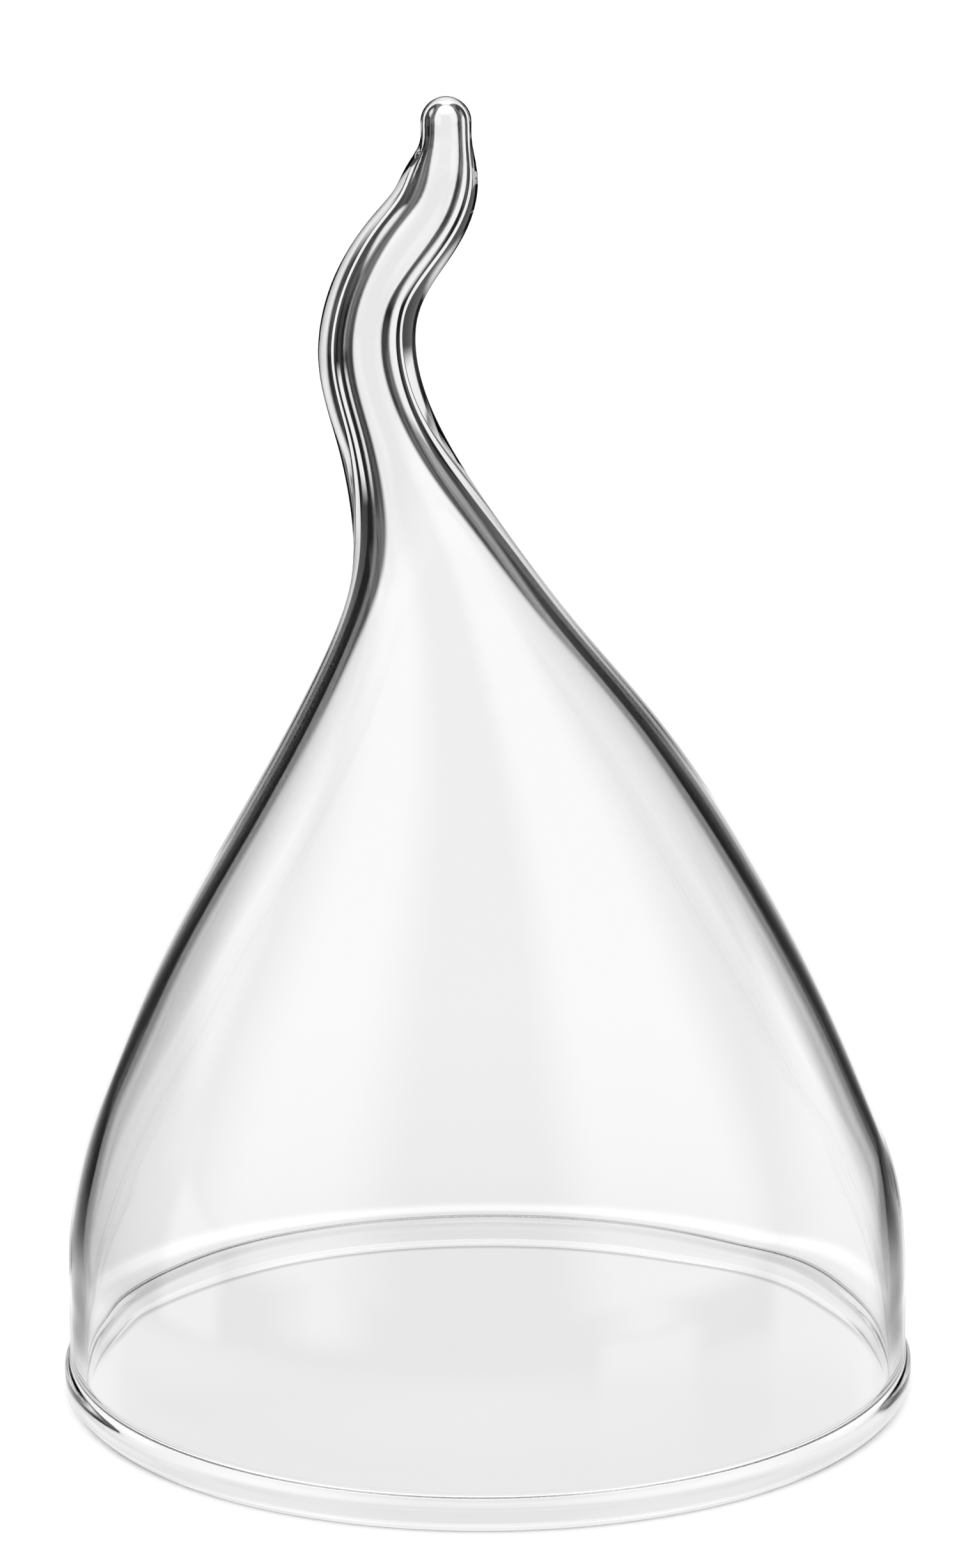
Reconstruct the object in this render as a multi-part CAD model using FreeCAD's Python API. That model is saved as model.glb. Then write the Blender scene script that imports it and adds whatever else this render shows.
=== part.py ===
"""Clear borosilicate glass bell with an S-bent, sealed neck that serves as its handle.

The bell stands on the flat land of its fire-polished rim at Z = 0, and its axis is +Z.  The neck
bends in the XZ plane: first towards -X, then back, and it ends in a round, upright, closed tip.
All sizes are in millimetres.
"""
import FreeCAD, Part
import math
import os

from FreeCAD import Placement, Rotation, Vector

os.makedirs("parts", exist_ok=True)

# ---- driving dimensions ------------------------------------------------------------------------

SKIRT_DIAMETER = 140.0      # stock tube that the bell is blown from
SKIRT_WALL = 2.5
SKIRT_TOP = 20.0            # height at which the straight skirt turns into the shoulder

BEAD_HEIGHT = 6.0           # the rim, thickened by fire polishing
BEAD_SWELL_OUT = 0.95       # how far the bead stands proud of the skirt outside
BEAD_SWELL_IN = 1.0         # and inside
BEAD_WIDEST = 3.9           # height of the bead's fullest section
LAND_WIDTH = 1.6            # ground flat on the underside of the bead
FOOT_ROUNDNESS = 0.75       # how far the bead's curves run on before they turn, as a share of
SIDE_ROUNDNESS = 0.55       # their width or height: at the land, below the fullest section
TOP_ROUNDNESS = 0.42        # and above it

# The blown profile above the skirt.  Each station is a round section square to the centreline:
# (height, sideways offset of the centre, outer radius, wall thickness)
STATIONS = [
    (30.0, -0.3, 69.5, 2.5),
    (42.0, -0.6, 66.6, 2.6),
    (55.0, -0.8, 61.8, 2.8),
    (70.0, -1.1, 55.5, 3.1),
    (90.0, -1.7, 45.4, 3.4),
    (110.0, -3.2, 33.8, 3.4),
    (130.0, -5.8, 21.1, 3.1),
    (145.0, -8.7, 13.5, 3.2),
    (157.0, -12.5, 9.9, 3.7),
    (168.0, -16.2, 8.3, 4.0),
    (180.0, -18.8, 8.1, 4.1),
    (190.0, -17.2, 7.6, 3.9),
    (198.0, -12.7, 7.3, 3.4),
    (205.0, -8.0, 6.8, 3.0),
    (211.0, -6.2, 5.9, 2.3),
    (216.0, -5.6, 4.3, 1.5),
    (219.4, -5.6, 4.2, 1.5),
]
CONE_START = 90.0           # station at which the rounded shoulder turns into the drawn cone
NECK_START = 145.0          # station at which the cone has become the neck
TIP_START = 216.0           # station at which the neck was melted shut; the last one starts its dome

# ---- the centreline ----------------------------------------------------------------------------

SKIRT_RADIUS = SKIRT_DIAMETER / 2
SKIRT_HEIGHTS = (0.0, SKIRT_TOP / 2, SKIRT_TOP)
UP = Vector(0, 0, 1)
BIG = 400.0                 # edge of the blocks that the body is sliced with


def all_stations():
    """The straight skirt's stations, then the blown ones."""
    skirt = [(height, 0.0, SKIRT_RADIUS, SKIRT_WALL) for height in SKIRT_HEIGHTS]
    return skirt + STATIONS


def centreline():
    """A smooth curve from the skirt's top through the blown centres, upright at both ends."""
    points = [Vector(0, 0, SKIRT_TOP)]
    points += [Vector(offset, 0, height) for height, offset, _, _ in STATIONS]
    curve = Part.BSplineCurve()
    curve.interpolate(Points=points, InitialTangent=UP, FinalTangent=UP)
    return curve


def section_placement(curve, height, offset):
    """Where a station's section lies: centred on the line and square to it."""
    centre = Vector(offset, 0, height)
    if height <= SKIRT_TOP:
        return Placement(centre, Rotation())
    along = curve.tangent(curve.parameter(centre))[0]
    tilt = math.degrees(math.atan2(along.x, along.z))
    return Placement(centre, Rotation(Vector(0, 1, 0), tilt))


# ---- building blocks ---------------------------------------------------------------------------


def loft(curve, rows):
    """A closed solid through round sections, given as (height, offset, radius)."""
    wires = []
    for height, offset, radius in rows:
        wire = Part.Wire(Part.makeCircle(radius))
        wire.Placement = section_placement(curve, height, offset)
        wires.append(wire)
    return Part.makeLoft(wires, True, False)


def domed(curve, rows):
    """A loft through the rows, closed at its upper end by a dome."""
    height, offset, radius = rows[-1]
    return loft(curve, rows).fuse(Part.makeSphere(radius, Vector(offset, 0, height)))


def outer_form(curve):
    """The outside of the glass from the rim to the top of the tip, as a solid."""
    return domed(curve, [(height, offset, radius) for height, offset, radius, _ in all_stations()])


def bore_form(curve):
    """The hollow inside it, as a solid that starts below the mouth and ends in the tip."""
    mouth = (-SKIRT_TOP / 2, 0.0, SKIRT_RADIUS - SKIRT_WALL)
    rows = [(height, offset, radius - wall) for height, offset, radius, wall in all_stations()]
    return domed(curve, [mouth] + rows)


def beyond(curve, height):
    """A block that covers everything past the section at a station's height."""
    offset = next(row[1] for row in all_stations() if row[0] == height)
    block = Part.makeBox(BIG, BIG, BIG, Vector(-BIG / 2, -BIG / 2, 0))
    block.Placement = section_placement(curve, height, offset)
    return block


def curved_edge(points):
    """A cubic edge from the first point to the last, drawn towards the two between."""
    curve = Part.BezierCurve()
    curve.setPoles(points)
    return curve.toShape()


def line(first, second):
    return Part.LineSegment(first, second).toShape()


# ---- the pieces --------------------------------------------------------------------------------


def bead_side(land, belly, top):
    """One side of the bead's section: from the land round to its fullest height, and up to the wall."""
    foot_pull = Vector((belly.x - land.x) * FOOT_ROUNDNESS, 0, 0)
    side_pull = Vector(0, 0, BEAD_WIDEST * SIDE_ROUNDNESS)
    top_pull = Vector(0, 0, (BEAD_HEIGHT - BEAD_WIDEST) * TOP_ROUNDNESS)
    return [
        curved_edge([land, land + foot_pull, belly - side_pull, belly]),
        curved_edge([belly, belly + top_pull, top - top_pull, top]),
    ]


def make_rim_bead():
    """The thickened rim: a rounded ring with a narrow ground land to stand on."""
    bore_radius = SKIRT_RADIUS - SKIRT_WALL
    land_middle = (SKIRT_RADIUS + bore_radius) / 2
    land_outer = Vector(land_middle + LAND_WIDTH / 2, 0, 0)
    land_inner = Vector(land_middle - LAND_WIDTH / 2, 0, 0)
    outer_belly = Vector(SKIRT_RADIUS + BEAD_SWELL_OUT, 0, BEAD_WIDEST)
    inner_belly = Vector(bore_radius - BEAD_SWELL_IN, 0, BEAD_WIDEST)
    outer_top = Vector(SKIRT_RADIUS, 0, BEAD_HEIGHT)
    inner_top = Vector(bore_radius, 0, BEAD_HEIGHT)
    edges = [line(land_inner, land_outer)]
    edges += bead_side(land_outer, outer_belly, outer_top)
    edges += [line(outer_top, inner_top)]
    edges += reversed(bead_side(land_inner, inner_belly, inner_top))
    return Part.Face(Part.Wire(edges)).revolve(Vector(0, 0, 0), UP, 360)


def make_bell_skirt():
    """The straight wall of the bell, still the size of the stock tube."""
    height = SKIRT_TOP - BEAD_HEIGHT
    foot = Vector(0, 0, BEAD_HEIGHT)
    outer = Part.makeCylinder(SKIRT_RADIUS, height, foot)
    inner = Part.makeCylinder(SKIRT_RADIUS - SKIRT_WALL, height, foot)
    return outer.cut(inner)


def make_bell_shoulder(wall, curve):
    """The rounded shoulder, blown in from the skirt."""
    return wall.common(beyond(curve, SKIRT_TOP)).cut(beyond(curve, CONE_START))


def make_drawn_cone(wall, curve):
    """The cone that the shoulder was drawn into, thicker and steeper towards the neck."""
    return wall.common(beyond(curve, CONE_START)).cut(beyond(curve, NECK_START))


def make_s_bend_neck(wall, curve):
    """The drawn, thick-walled neck with its two bends, open at both ends."""
    return wall.common(beyond(curve, NECK_START)).cut(beyond(curve, TIP_START))


def make_sealed_tip(wall, curve):
    """The melted-shut end: a short, upright, thin-walled tube closed by a dome."""
    return wall.common(beyond(curve, TIP_START))


def main():
    curve = centreline()
    wall = outer_form(curve).cut(bore_form(curve))
    pieces = {
        "rim_bead": make_rim_bead(),
        "bell_skirt": make_bell_skirt(),
        "bell_shoulder": make_bell_shoulder(wall, curve),
        "drawn_cone": make_drawn_cone(wall, curve),
        "s_bend_neck": make_s_bend_neck(wall, curve),
        "sealed_tip": make_sealed_tip(wall, curve),
    }
    for name, shape in pieces.items():
        solid = shape.Solids[0]
        box = solid.optimalBoundingBox(False)
        print(
            f"{name}: solids {len(shape.Solids)}, valid {solid.isValid()},"
            f" volume {solid.Volume / 1000:.2f} cm3, Z {box.ZMin:.2f} to {box.ZMax:.2f},"
            f" X {box.XMin:.2f} to {box.XMax:.2f}"
        )
        solid.exportStep(f"parts/{name}.step")


main()
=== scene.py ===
"""The looks of a clear borosilicate glass bell with an S-bent, sealed neck for a handle.

The glass is one fused piece, so one continuous, closed mesh stands for all the zones of the frame.
Everything is in metres, in the frame's own axes: the bell stands on Z = 0 and opens downwards.
"""

import math

import bpy
import numpy as np
from mathutils import Matrix, Vector


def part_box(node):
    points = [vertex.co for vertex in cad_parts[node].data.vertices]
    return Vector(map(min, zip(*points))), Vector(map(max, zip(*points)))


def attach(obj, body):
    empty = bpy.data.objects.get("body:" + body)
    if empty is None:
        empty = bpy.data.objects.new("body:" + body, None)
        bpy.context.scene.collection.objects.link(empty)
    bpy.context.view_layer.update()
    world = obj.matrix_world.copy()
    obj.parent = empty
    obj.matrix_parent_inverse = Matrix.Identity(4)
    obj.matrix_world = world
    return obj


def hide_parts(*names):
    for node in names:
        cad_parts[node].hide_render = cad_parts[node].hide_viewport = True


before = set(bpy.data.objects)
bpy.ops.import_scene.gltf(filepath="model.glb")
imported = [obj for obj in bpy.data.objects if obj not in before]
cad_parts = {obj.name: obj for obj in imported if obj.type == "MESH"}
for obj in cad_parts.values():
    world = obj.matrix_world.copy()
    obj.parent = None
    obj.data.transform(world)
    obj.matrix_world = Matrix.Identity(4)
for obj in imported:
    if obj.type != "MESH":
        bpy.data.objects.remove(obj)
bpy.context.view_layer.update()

MM = 0.001

# ---- the glass form, from the frame's boxes and the blown stations -------------------------------

BEAD_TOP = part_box("rim_bead")[1].z
SKIRT_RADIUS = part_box("bell_skirt")[1].x
SKIRT_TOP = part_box("bell_skirt")[1].z
SKIRT_WALL = 2.5 * MM
BEAD_SWELL_OUT = 0.95 * MM
BEAD_SWELL_IN = 1.0 * MM
BEAD_WIDEST = 3.9 * MM
LAND_WIDTH = 1.6 * MM
FOOT_ROUNDNESS = 0.75       # how far the bead's curves run on before they turn, as a share of
SIDE_ROUNDNESS = 0.55       # their width or height: at the land, below the fullest section
TOP_ROUNDNESS = 0.42        # and above it

# Sections above the skirt: height, sideways offset, outer radius and wall, in millimetres.
# The last one is where the tip's two domes start.
STATIONS_MM = [
    (30.0, -0.3, 69.5, 2.5),
    (42.0, -0.6, 66.6, 2.6),
    (55.0, -0.8, 61.8, 2.8),
    (70.0, -1.1, 55.5, 3.1),
    (90.0, -1.7, 45.4, 3.4),
    (110.0, -3.2, 33.8, 3.4),
    (130.0, -5.8, 21.1, 3.1),
    (145.0, -8.7, 13.5, 3.2),
    (157.0, -12.5, 9.9, 3.7),
    (168.0, -16.2, 8.3, 4.0),
    (180.0, -18.8, 8.1, 4.1),
    (190.0, -17.2, 7.6, 3.9),
    (198.0, -12.7, 7.3, 3.4),
    (205.0, -8.0, 6.8, 3.0),
    (211.0, -6.2, 5.9, 2.3),
    (216.0, -5.6, 4.3, 1.5),
    (219.4, -5.6, 4.2, 1.5),
]

AROUND = 192                # points in a ring of the mesh
RING_STEP = 1.25 * MM       # distance between rings up the wall
BEAD_RINGS = 10             # rings along each half of the bead
DOME_RINGS = 12             # rings of a rounded end
TANGENT_STEP = 1e-4         # share of the centreline over which its direction is read

# ---- the glass as a material ---------------------------------------------------------------------

GLASS_IOR = 1.47            # borosilicate
WAVE_SCALE = 45.0           # waves that the flame left in the surface, per metre
WAVE_DETAIL = 1.0           # and layers of finer waves on them
WAVE_STRENGTH = 0.15
WAVE_HEIGHT = 0.1 * MM
LAND_ROUGHNESS = 0.35       # the land is ground, so it is matt
LAND_HEIGHT = 0.15 * MM     # and by this height the glass is clear again
GLASS_TINT = (0.91, 0.92, 0.915, 1.0)
TINT_DENSITY = 25.0         # how fast the tint deepens through the glass

# ---- the camera and the studio -------------------------------------------------------------------

CAMERA_ELEVATION = math.radians(18.27)
CAMERA_DISTANCE = 2.5
CAMERA_TARGET = Vector((-0.8 * MM, 0.0, 105.5 * MM))
CAMERA_ROLL = math.radians(-0.36)
CAMERA_LENS = 346.65            # millimetres, as is the sensor
CAMERA_SENSOR = 36.0
CAMERA_REACH = 200.0            # the farthest that it sees
BOUNCES = 32                    # enough for rays that stay long in the walls of glass
MIRROR_BOUNCES = 12

FLOOR_SIZE = 60.0
FLOOR_GAP = 0.1 * MM            # keeps the floor clear of the ground land
FLOOR_WHITE = 0.93
SKY = 1.5                       # the white that the camera and the floor see everywhere
ROOM = 0.015                    # the dark room that the glass sees between the panels
COVER = "cover"                 # the mesh attribute that holds the near floor's painted light and shade, and its cover

# Soft panels of light, as the glass bends or mirrors them, far away in every direction:
# direction of the middle, half width and soft edge; lowest and highest point above the horizon
# and soft edge there; brightness.  Directions are in degrees, from the front (-Y) towards +X.
# A half width past 180 reaches all round, and a height past 90 or -90 straight up or down.
PANELS = [
    (180, 14.5, 5, -95, 50, 16, 0.95),      # behind
    (-135, 12, 6, -37, -20, 5, 0.95),       # behind, to the left
    (-90, 11, 6, -13, 9, 5, 0.95),          # left
    (45, 14, 8, -21, -4, 6, 0.95),          # in front, to the right, low
    (-63, 27, 34, 6, 55, 10, 1.2),          # in front, to the left
    (59, 31, 26, 6, 55, 10, 1.2),           # in front, to the right
    (-46, 10, 22, -6, 14, 14, 1.1),         # below the left one
    (44, 10, 22, -6, 14, 14, 1.1),          # below the right one
    (-125, 20, 14, 8, 26, 8, 0.85),         # beside, to the left and a little behind
    (128, 14, 14, 8, 20, 8, 0.35),          # beside, to the right and a little behind
    (110, 25, 8, -80, 8, 12, 0.95),         # right, a little behind
    (0, 200, 1, -95, -42, 14, 0.9),         # the table below, all round
    (0, 200, 1, 54, 100, 6, 3.0),           # overhead, all round
]

# The floor near the bell as the glass shows it, ring by ring, with painted light and shade:
# distance from the axis; its painted white and how much of it shows behind the bell; the same two
# in front; how far round from the front (degrees) the front reaches; and the share that is hidden
# beside the bell, where the skirt's edges bend it. The darker white inside the bell is painted
# shade, as if the glass shadowed the floor there. Behind the rim lie a thin painted shadow and a
# thin painted bright line, where the rim would throw its shadow and its bent light, and further
# out behind it the white is painted a darker grey.
NEAR_FLOOR_PAINTED_LIGHT = [
    (61.0 * MM, (0.87, 1.0), (0.81, 1.0), 95, 0.0),
    (66.5 * MM, (0.87, 1.0), (1.10, 1.0), 50, 0.0),
    (67.5 * MM, (0.60, 1.0), (1.10, 1.0), 95, 0.0),
    (72.0 * MM, (0.62, 1.0), (1.10, 1.0), 95, 0.0),
    (76.0 * MM, (0.84, 1.0), (1.10, 0.9), 95, 0.2),
    (84.0 * MM, (0.86, 0.9), (1.05, 0.9), 95, 0.6),
    (87.0 * MM, (1.08, 0.9), (1.05, 0.9), 95, 0.6),
    (90.0 * MM, (1.08, 0.9), (1.05, 0.9), 95, 0.6),
    (94.0 * MM, (0.80, 0.35), (1.05, 0.8), 100, 0.2),
    (111.0 * MM, (0.80, 0.22), (1.0, 0.8), 112, 0.0),
    (137.0 * MM, (0.80, 0.12), (0.95, 0.6), 112, 0.0),
    (200.0 * MM, (0.80, 0.0), (0.95, 0.0), 112, 0.0),
]
BESIDE = 106                    # degrees from the front at which most of it is hidden
BESIDE_SPREAD = 14              # and how far to either side the hiding spreads
FRONT_SOFT = 30                 # degrees over which the front turns into the back


# ---- the shape -----------------------------------------------------------------------------------


def spline_through(knots, rows, at):
    """A natural cubic spline through rows at knots, read at other places."""
    knots, rows, at = np.asarray(knots), np.asarray(rows), np.asarray(at)
    count = len(knots)
    gaps = np.diff(knots)
    slopes = np.diff(rows, axis=0) / gaps[:, None]
    system = np.eye(count)
    target = np.zeros_like(rows)
    for i in range(1, count - 1):
        system[i, i - 1:i + 2] = gaps[i - 1], 2 * (gaps[i - 1] + gaps[i]), gaps[i]
        target[i] = 6 * (slopes[i] - slopes[i - 1])
    bend = np.linalg.solve(system, target)
    span = np.clip(np.searchsorted(knots, at, side="right") - 1, 0, count - 2)
    width = gaps[span][:, None]
    left = (knots[span + 1] - at)[:, None]
    right = (at - knots[span])[:, None]
    curved = (bend[span] * left ** 3 + bend[span + 1] * right ** 3) / (6 * width)
    straight_left = (rows[span] / width - bend[span] * width / 6) * left
    straight_right = (rows[span + 1] / width - bend[span + 1] * width / 6) * right
    return curved + straight_left + straight_right


def ring(centre, radius, tilt=0.0):
    """Points of a round section, tilted about the Y axis, as an array of AROUND rows."""
    angles = np.linspace(0, 2 * math.pi, AROUND, endpoint=False)
    sideways = np.array([math.cos(tilt), 0.0, -math.sin(tilt)])
    across = np.array([0.0, 1.0, 0.0])
    circle = np.outer(np.cos(angles), sideways) + np.outer(np.sin(angles), across)
    return np.asarray(centre) + radius * circle


def wall_rings(depth):
    """Rings from the bead's top up the wall and over the dome, and the dome's highest point.

    They run smoothly through every station, outside the glass at depth 0 and in its bore at 1.
    """
    skirt_heights = (BEAD_TOP, (BEAD_TOP + SKIRT_TOP) / 2, SKIRT_TOP)
    skirt = [(z, 0.0, SKIRT_RADIUS, SKIRT_WALL) for z in skirt_heights]
    stations = skirt + [tuple(value * MM for value in row) for row in STATIONS_MM]
    centres = np.array([(offset, 0.0, z) for z, offset, _, _ in stations])
    steps = np.linalg.norm(np.diff(centres, axis=0), axis=1)
    knots = np.concatenate([[0.0], np.cumsum(steps)])
    nudge = knots[-1] * TANGENT_STEP
    ahead = spline_through(knots, centres, np.minimum(knots + nudge, knots[-1]))
    behind = spline_through(knots, centres, np.maximum(knots - nudge, 0.0))
    along = ahead - behind
    blown = (centres[:, 2] > SKIRT_TOP) & (knots < knots[-1])
    tilts = np.where(blown, np.arctan2(along[:, 0], along[:, 2]), 0.0)
    radii = [radius - depth * wall for _, _, radius, wall in stations]
    sections = [ring(*section).ravel() for section in zip(centres, radii, tilts)]
    count = int(knots[-1] / RING_STEP)
    rows = spline_through(knots, sections, np.linspace(0.0, knots[-1], count))
    rings = [points.reshape(AROUND, 3) for points in rows]
    top, radius = centres[-1], radii[-1]
    for angle in np.linspace(0, math.pi / 2, DOME_RINGS + 1)[1:-1]:
        rings.append(ring(top + (0.0, 0.0, radius * math.sin(angle)), radius * math.cos(angle)))
    return rings, tuple(top + (0.0, 0.0, radius))


def bead_rings():
    """The bead, from its top on the inside, under the ground land, to its top on the outside."""
    bore_radius = SKIRT_RADIUS - SKIRT_WALL
    middle = (SKIRT_RADIUS + bore_radius) / 2
    inner = half_bead(bore_radius, -BEAD_SWELL_IN, middle - LAND_WIDTH / 2)
    outer = half_bead(SKIRT_RADIUS, BEAD_SWELL_OUT, middle + LAND_WIDTH / 2)
    profile = inner[::-1] + outer
    return [ring((0.0, 0.0, height), radius) for radius, height in profile]


def half_bead(wall_radius, swell, land_radius):
    """One side of the bead, from the land to just under the bead's top, as radii and heights."""
    land = Vector((land_radius, 0.0))
    belly = Vector((wall_radius + swell, BEAD_WIDEST))
    top = Vector((wall_radius, BEAD_TOP))
    foot_pull = Vector(((belly.x - land.x) * FOOT_ROUNDNESS, 0.0))
    side_pull = Vector((0.0, BEAD_WIDEST * SIDE_ROUNDNESS))
    top_pull = Vector((0.0, (BEAD_TOP - BEAD_WIDEST) * TOP_ROUNDNESS))
    shares = np.linspace(0, 1, BEAD_RINGS, endpoint=False)
    points = [bezier(land, land + foot_pull, belly - side_pull, belly, share) for share in shares]
    points += [bezier(belly, belly + top_pull, top - top_pull, top, share) for share in shares]
    return [(point.x, point.y) for point in points]


def bezier(start, pull_start, pull_end, end, share):
    """A point on a cubic curve."""
    rest = 1 - share
    return (
        start * rest ** 3
        + pull_start * 3 * rest ** 2 * share
        + pull_end * 3 * rest * share ** 2
        + end * share ** 3
    )


def faces_from_point(ring_count):
    """Faces of a skin that starts at point 0 and runs on from ring to ring."""
    last_ring = 1 + (ring_count - 1) * AROUND
    faces = [(0, 1 + (i + 1) % AROUND, 1 + i) for i in range(AROUND)]
    for low in range(1, last_ring, AROUND):
        for i in range(AROUND):
            after = (i + 1) % AROUND
            faces.append((low + i, low + after, low + AROUND + after, low + AROUND + i))
    return faces


def make_glass():
    """The whole bell as one closed mesh: inside, bead and outside, closed by a point at each end."""
    inside, bore_end = wall_rings(depth=1)
    outside, tip_end = wall_rings(depth=0)
    rings = inside[::-1] + bead_rings() + outside
    points = [bore_end] + [tuple(point) for section in rings for point in section] + [tip_end]
    tip = len(points) - 1
    last_ring = tip - AROUND
    faces = faces_from_point(len(rings))
    faces += [(tip, last_ring + i, last_ring + (i + 1) % AROUND) for i in range(AROUND)]
    mesh = bpy.data.meshes.new("glass_bell")
    mesh.from_pydata(points, [], faces)
    mesh.validate()
    mesh.shade_smooth()
    bell = bpy.data.objects.new("glass_bell", mesh)
    bpy.context.scene.collection.objects.link(bell)
    return bell


# ---- the materials -------------------------------------------------------------------------------


def grey(white, alpha=1.0):
    """A colour without a hue."""
    return white, white, white, alpha


def new_material(name):
    """An empty node material with its output, as (material, nodes, links)."""
    material = bpy.data.materials.new(name)
    material.use_nodes = True
    tree = material.node_tree
    tree.nodes.clear()
    return material, tree.nodes, tree.links


def make_glass_material():
    """Clear borosilicate glass: slow waves from the flame, a ground, matt land and a faint tint."""
    material, nodes, links = new_material("clear_glass")
    output = nodes.new("ShaderNodeOutputMaterial")
    shader = nodes.new("ShaderNodeBsdfPrincipled")
    shader.inputs["Base Color"].default_value = grey(1.0)
    shader.inputs["IOR"].default_value = GLASS_IOR
    shader.inputs["Transmission Weight"].default_value = 1.0
    links.new(shader.outputs["BSDF"], output.inputs["Surface"])

    place = nodes.new("ShaderNodeTexCoord")
    waves = nodes.new("ShaderNodeTexNoise")
    waves.inputs["Scale"].default_value = WAVE_SCALE
    waves.inputs["Detail"].default_value = WAVE_DETAIL
    links.new(place.outputs["Object"], waves.inputs["Vector"])
    bump = nodes.new("ShaderNodeBump")
    bump.inputs["Strength"].default_value = WAVE_STRENGTH
    bump.inputs["Distance"].default_value = WAVE_HEIGHT
    links.new(waves.outputs["Fac"], bump.inputs["Height"])
    links.new(bump.outputs["Normal"], shader.inputs["Normal"])

    height = nodes.new("ShaderNodeSeparateXYZ")
    links.new(place.outputs["Object"], height.inputs["Vector"])
    land = nodes.new("ShaderNodeMapRange")
    land.inputs["From Min"].default_value = 0.0
    land.inputs["From Max"].default_value = LAND_HEIGHT
    land.inputs["To Min"].default_value = LAND_ROUGHNESS
    land.inputs["To Max"].default_value = 0.0
    links.new(height.outputs["Z"], land.inputs["Value"])
    links.new(land.outputs["Result"], shader.inputs["Roughness"])

    depth = nodes.new("ShaderNodeVolumeAbsorption")
    depth.inputs["Color"].default_value = GLASS_TINT
    depth.inputs["Density"].default_value = TINT_DENSITY
    links.new(depth.outputs["Volume"], output.inputs["Volume"])
    return material


def make_floor_material():
    """A plain matt white floor."""
    material, nodes, links = new_material("floor_white")
    output = nodes.new("ShaderNodeOutputMaterial")
    shader = nodes.new("ShaderNodeBsdfDiffuse")
    shader.inputs["Color"].default_value = grey(FLOOR_WHITE)
    links.new(shader.outputs["BSDF"], output.inputs["Surface"])
    return material


def make_painted_near_floor_material():
    """The near floor as the glass sees it, a glow of painted light and shade: its white and cover
    are in the mesh.
    """
    material, nodes, links = new_material("painted_near_floor")
    output = nodes.new("ShaderNodeOutputMaterial")
    cover = nodes.new("ShaderNodeAttribute")
    cover.attribute_name = COVER
    # the painted light and shade glow here, though the disc is no lamp
    glow = nodes.new("ShaderNodeEmission")
    clear = nodes.new("ShaderNodeBsdfTransparent")
    blend = nodes.new("ShaderNodeMixShader")
    links.new(cover.outputs["Color"], glow.inputs["Color"])
    links.new(cover.outputs["Alpha"], blend.inputs["Fac"])
    links.new(clear.outputs["BSDF"], blend.inputs[1])
    links.new(glow.outputs["Emission"], blend.inputs[2])
    links.new(blend.outputs["Shader"], output.inputs["Surface"])
    return material


# ---- the stage, the light and the camera ---------------------------------------------------------


def stage_mesh(name, points, faces, material):
    """A flat card of the stage, which casts no shadow."""
    mesh = bpy.data.meshes.new(name)
    mesh.from_pydata(points, [], faces)
    mesh.materials.append(material)
    card = bpy.data.objects.new(name, mesh)
    bpy.context.scene.collection.objects.link(card)
    card.visible_shadow = False
    return card


def make_floor():
    """A wide white floor, which the glass doesn't show."""
    half = FLOOR_SIZE / 2
    corners = [(-half, -half), (half, -half), (half, half), (-half, half)]
    points = [(x, y, -FLOOR_GAP) for x, y in corners]
    floor = stage_mesh("floor", points, [(0, 1, 2, 3)], make_floor_material())
    floor.visible_glossy = False
    floor.visible_transmission = False


def make_painted_near_floor():
    """A glowing disc of painted light and shade, for the floor in and round the bell, seen only by
    the glass.
    """
    points = [(0.0, 0.0, -FLOOR_GAP)]
    colours = [grey(*NEAR_FLOOR_PAINTED_LIGHT[0][1])]
    for radius, behind, in_front, reach, hidden in NEAR_FLOOR_PAINTED_LIGHT:
        for x, y, z in ring((0.0, 0.0, -FLOOR_GAP), radius):
            from_front = math.degrees(math.acos(np.clip(-y / radius, -1.0, 1.0)))
            share = np.clip(0.5 + (reach - from_front) / FRONT_SOFT, 0.0, 1.0)
            white, cover = (1 - share) * np.array(behind) + share * np.array(in_front)
            cover *= 1 - hidden * math.exp(-((from_front - BESIDE) / BESIDE_SPREAD) ** 2)
            points.append((x, y, z))
            colours.append(grey(white, cover))
    faces = faces_from_point(len(NEAR_FLOOR_PAINTED_LIGHT))
    disc = stage_mesh("painted_near_floor", points, faces, make_painted_near_floor_material())
    cover = disc.data.color_attributes.new(COVER, "FLOAT_COLOR", "POINT")
    for i, colour in enumerate(colours):
        cover.data[i].color = colour
    disc.visible_camera = False
    disc.visible_diffuse = False


def math_node(tree, operation, *values):
    """A maths node on numbers or sockets; gives its output socket."""
    node = tree.nodes.new("ShaderNodeMath")
    node.operation = operation
    for socket, value in zip(node.inputs, values):
        if isinstance(value, bpy.types.NodeSocket):
            tree.links.new(value, socket)
        else:
            socket.default_value = value
    return node.outputs["Value"]


def soft_rise(tree, value, middle, soft):
    """A smooth step from 0 to 1 about the middle, as wide as soft; both in degrees."""
    node = tree.nodes.new("ShaderNodeMapRange")
    node.interpolation_type = "SMOOTHSTEP"
    node.inputs["From Min"].default_value = math.radians(middle - soft / 2)
    node.inputs["From Max"].default_value = math.radians(middle + soft / 2)
    tree.links.new(value, node.inputs["Value"])
    return node.outputs["Result"]


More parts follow.
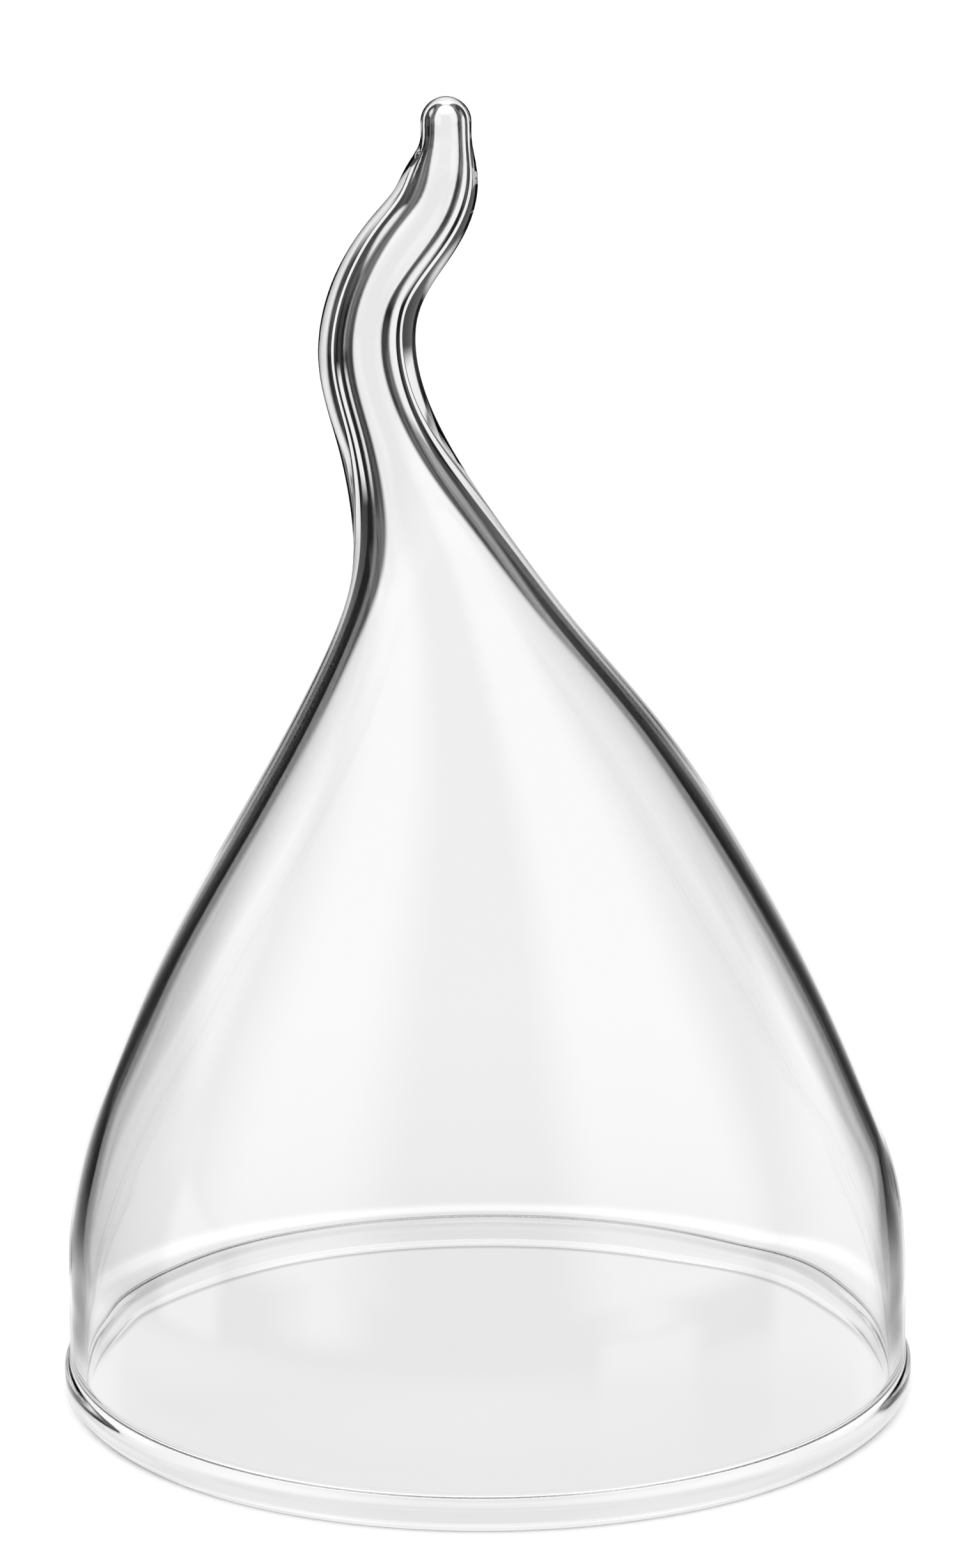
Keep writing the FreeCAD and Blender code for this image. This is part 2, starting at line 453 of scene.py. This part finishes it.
def panel_brightness(tree, level, elevation, panel):
    """How bright one panel is in a ray's direction."""
    middle, half, soft, low, high, soft_up, brightness = panel
    facing = tree.nodes.new("ShaderNodeVectorMath")
    facing.operation = "DOT_PRODUCT"
    tree.links.new(level, facing.inputs[0])
    angle = math.radians(middle)
    facing.inputs[1].default_value = (math.sin(angle), -math.cos(angle), 0.0)
    away = math_node(tree, "ARCCOSINE", math_node(tree, "MINIMUM", facing.outputs["Value"], 1.0))
    beside = soft_rise(tree, away, half, soft)
    above = soft_rise(tree, elevation, high, soft_up)
    shown = soft_rise(tree, elevation, low, soft_up)
    for hidden in (beside, above):
        shown = math_node(tree, "MULTIPLY", shown, math_node(tree, "SUBTRACT", 1.0, hidden))
    return math_node(tree, "MULTIPLY", shown, brightness)


def make_world():
    """White light from everywhere, and a dark room with soft panels for what the glass shows."""
    world = bpy.data.worlds.new("studio")
    bpy.context.scene.world = world
    world.use_nodes = True
    tree = world.node_tree
    tree.nodes.clear()
    output = tree.nodes.new("ShaderNodeOutputWorld")
    background = tree.nodes.new("ShaderNodeBackground")
    background.inputs["Color"].default_value = grey(1.0)
    place = tree.nodes.new("ShaderNodeTexCoord")
    flat = tree.nodes.new("ShaderNodeVectorMath")
    flat.operation = "MULTIPLY"
    flat.inputs[1].default_value = (1.0, 1.0, 0.0)
    level = tree.nodes.new("ShaderNodeVectorMath")
    level.operation = "NORMALIZE"
    split = tree.nodes.new("ShaderNodeSeparateXYZ")
    tree.links.new(place.outputs["Generated"], flat.inputs[0])
    tree.links.new(flat.outputs["Vector"], level.inputs[0])
    tree.links.new(place.outputs["Generated"], split.inputs["Vector"])
    elevation = math_node(tree, "ARCSINE", split.outputs["Z"])
    studio = ROOM
    for panel in PANELS:
        brightness = panel_brightness(tree, level.outputs["Vector"], elevation, panel)
        studio = math_node(tree, "MAXIMUM", studio, brightness)
    path = tree.nodes.new("ShaderNodeLightPath")
    white = math_node(tree, "MAXIMUM", path.outputs["Is Camera Ray"], path.outputs["Diffuse Depth"])
    strength = tree.nodes.new("ShaderNodeMapRange")
    strength.inputs["To Max"].default_value = SKY
    tree.links.new(white, strength.inputs["Value"])
    tree.links.new(studio, strength.inputs["To Min"])
    tree.links.new(strength.outputs["Result"], background.inputs["Strength"])
    tree.links.new(background.outputs["Background"], output.inputs["Surface"])
    # What it gives depends on the kind of ray, so it isn't sampled as a lamp.
    world.cycles.sampling_method = "NONE"


def make_camera():
    """The camera in front of the bell, a little above it, far away with a long lens."""
    data = bpy.data.cameras.new("camera")
    data.sensor_width = CAMERA_SENSOR
    data.lens = CAMERA_LENS
    data.clip_end = CAMERA_REACH
    camera = bpy.data.objects.new("camera", data)
    bpy.context.scene.collection.objects.link(camera)
    back = Vector((0.0, -math.cos(CAMERA_ELEVATION), math.sin(CAMERA_ELEVATION)))
    camera.location = CAMERA_TARGET + back * CAMERA_DISTANCE
    look = (-back).to_track_quat("-Z", "Y").to_matrix().to_4x4()
    camera.rotation_euler = (look @ Matrix.Rotation(CAMERA_ROLL, 4, "Z")).to_euler()
    bpy.context.scene.camera = camera


def set_rendering():
    """Enough bounces for the walls of glass, and a plain, clean display of the result."""
    scene = bpy.context.scene
    scene.view_settings.view_transform = "Standard"
    scene.cycles.max_bounces = BOUNCES
    scene.cycles.transmission_bounces = BOUNCES
    scene.cycles.glossy_bounces = MIRROR_BOUNCES
    scene.cycles.use_denoising = True
    scene.cycles.denoiser = "OPENIMAGEDENOISE"


# ---- the whole scene -----------------------------------------------------------------------------

make_camera()
make_world()
make_floor()
make_painted_near_floor()
set_rendering()

bell = make_glass()
bell.data.materials.append(make_glass_material())
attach(bell, "root")
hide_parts("rim_bead", "bell_skirt", "bell_shoulder", "drawn_cone", "s_bend_neck", "sealed_tip")
